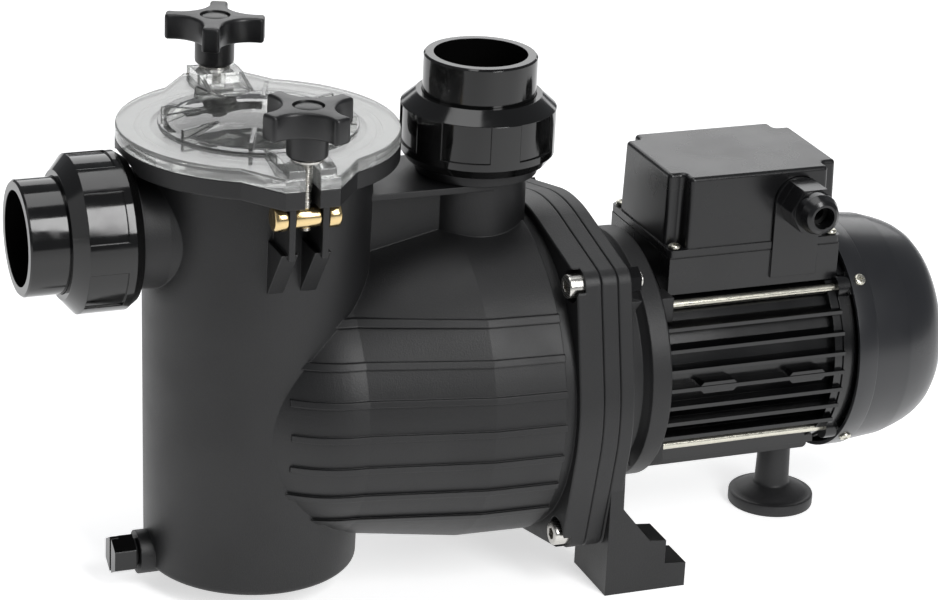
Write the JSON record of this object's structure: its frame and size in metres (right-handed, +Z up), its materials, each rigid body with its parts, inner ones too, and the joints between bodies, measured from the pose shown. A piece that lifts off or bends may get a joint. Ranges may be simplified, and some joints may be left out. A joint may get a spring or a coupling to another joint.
{
  "type": "swimming pool pump",
  "caption": "Self-priming pool pump: strainer pot with clear bolted lid and basket, threaded unions, finned electric motor on a footed bracket.",
  "frame": {"origin": "on the floor, midway between the two anchor slots in the bracket's feet", "axes": "+X along the motor shaft from the strainer pot towards the fan, +Z up, +Y to the far side; rest pose has the lid closed and both swing bolts upright"},
  "size_m": [0.525, 0.2091, 0.293],
  "materials": {
    "cast_body": "moulded, fine grain, very dark grey",
    "clear_lid": "clear moulded plastic, polished",
    "seal_rubber": "matte black elastomer",
    "basket_plastic": "pale moulded plastic",
    "union_plastic": "glossy black",
    "inner_plastic": "moulded black",
    "seal_ceramic": "white ceramic, lapped",
    "seal_carbon": "carbon ring in a rubber bellows",
    "stainless": "stainless, machined",
    "lamination": "stacked steel laminations",
    "copper": "enamelled copper coil heads",
    "bearing_steel": "ground bearing steel",
    "zinc_steel": "zinc-plated steel",
    "motor_paint": "satin black on cast aluminium",
    "cover_paint": "satin black on pressed steel",
    "foot_rubber": "matte dark rubber",
    "box_plastic": "satin black moulding",
    "terminal_plastic": "pale thermoset",
    "capacitor_plastic": "light grey can",
    "brass": "turned brass",
    "knob_plastic": "satin black"
  },
  "bodies": {
    "pump": {"pump_casing": "cast_body", "lid_seal": "seal_rubber", "suction_tailpiece": "union_plastic", "discharge_tailpiece": "union_plastic", "union_seals": "seal_rubber", "drain_seal": "seal_rubber", "seal_plate": "cast_body", "casing_seal": "seal_rubber", "diffuser": "inner_plastic", "diffuser_seal": "seal_rubber", "seal_seat": "seal_ceramic", "motor_bracket": "cast_body", "casing_bolts": "stainless", "casing_nuts": "stainless", "stator_housing": "motor_paint", "stator_core": "lamination", "windings": "copper", "bearing_outer_rings": "bearing_steel", "rear_shield": "motor_paint", "tie_rods": "zinc_steel", "tie_rod_nuts": "zinc_steel", "fan_cover": "cover_paint", "fan_cover_screws": "zinc_steel", "foot_pad": "foot_rubber", "foot_stud": "zinc_steel", "terminal_box_base": "box_plastic", "terminal_box_lid": "box_plastic", "terminal_box_gasket": "seal_rubber", "terminal_box_screws": "zinc_steel", "terminal_block": "terminal_plastic", "capacitor": "capacitor_plastic", "gland_body": "box_plastic", "gland_seal": "seal_rubber", "gland_locknut": "box_plastic"},
    "lid": {"lid": "clear_lid"},
    "basket": {"strainer_basket": "basket_plastic", "basket_handle": "basket_plastic"},
    "rotor": {"shaft": "stainless", "impeller": "inner_plastic", "rotor_core": "lamination", "fan": "inner_plastic", "seal_head": "seal_carbon", "bearing_inner_rings": "bearing_steel"},
    "balls": {"bearing_balls": "bearing_steel"},
    "suction_nut": {"suction_nut": "union_plastic"},
    "discharge_nut": {"discharge_nut": "union_plastic"},
    "drain_plug": {"drain_plug": "union_plastic"},
    "gland_nut": {"gland_nut": "box_plastic"},
    "front_bolt": {"front_trunnion": "brass", "front_swing_stud": "stainless"},
    "front_washer": {"front_knob_washer": "stainless"},
    "front_knob": {"front_knob": "knob_plastic"},
    "rear_bolt": {"rear_trunnion": "brass", "rear_swing_stud": "stainless"},
    "rear_washer": {"rear_knob_washer": "stainless"},
    "rear_knob": {"rear_knob": "knob_plastic"}
  },
  "joints": [
    {"name": "lid_lift", "type": "slide", "parent": "pump", "child": "lid", "axis": [0, 0, 1], "range_m": [0, 0.16]},
    {"name": "basket_lift", "type": "slide", "parent": "pump", "child": "basket", "axis": [0, 0, 1], "range_m": [0, 0.12]},
    {"name": "shaft_spin", "type": "hinge", "parent": "pump", "child": "rotor", "pos_m": [0, 0, 0.1065], "axis": [1, 0, 0], "continuous": true},
    {"name": "bearing_roll", "type": "hinge", "parent": "pump", "child": "balls", "pos_m": [0, 0, 0.1065], "axis": [1, 0, 0], "continuous": true},
    {"name": "suction_nut_turn", "type": "hinge", "parent": "pump", "child": "suction_nut", "pos_m": [-0.292, 0, 0.2055], "axis": [1, 0, 0], "continuous": true},
    {"name": "discharge_nut_turn", "type": "hinge", "parent": "pump", "child": "discharge_nut", "pos_m": [-0.08, 0, 0.247], "axis": [0, 0, 1], "continuous": true},
    {"name": "drain_plug_turn", "type": "hinge", "parent": "pump", "child": "drain_plug", "pos_m": [-0.2754, 0, 0.0184], "axis": [1, 0, 0], "continuous": true},
    {"name": "gland_nut_turn", "type": "hinge", "parent": "pump", "child": "gland_nut", "pos_m": [0.0955, -0.055, 0.2025], "axis": [0, 1, 0], "continuous": true},
    {"name": "front_bolt_swing", "type": "hinge", "parent": "pump", "child": "front_bolt", "pos_m": [-0.203, -0.0785, 0.2342], "axis": [1, 0, 0], "range_deg": [0, 105]},
    {"name": "front_knob_rise", "type": "slide", "parent": "front_bolt", "child": "front_washer", "axis": [0, 0, 1], "range_m": [0, 0.16]},
    {"name": "front_knob_turn", "type": "hinge", "parent": "front_washer", "child": "front_knob", "pos_m": [-0.203, -0.0785, 0.279], "axis": [0, 0, 1], "continuous": true},
    {"name": "rear_bolt_swing", "type": "hinge", "parent": "pump", "child": "rear_bolt", "pos_m": [-0.203, 0.0785, 0.2342], "axis": [-1, 0, 0], "range_deg": [0, 105]},
    {"name": "rear_knob_rise", "type": "slide", "parent": "rear_bolt", "child": "rear_washer", "axis": [0, 0, 1], "range_m": [0, 0.16]},
    {"name": "rear_knob_turn", "type": "hinge", "parent": "rear_washer", "child": "rear_knob", "pos_m": [-0.203, 0.0785, 0.279], "axis": [0, 0, 1], "continuous": true}
  ],
  "couplings": [
    {"joint": "basket_lift", "follows": "lid_lift", "ratio": 0.75},
    {"joint": "bearing_roll", "follows": "shaft_spin", "ratio": 0.384},
    {"joint": "front_knob_rise", "follows": "lid_lift", "ratio": 1},
    {"joint": "rear_knob_rise", "follows": "lid_lift", "ratio": 1}
  ]
}
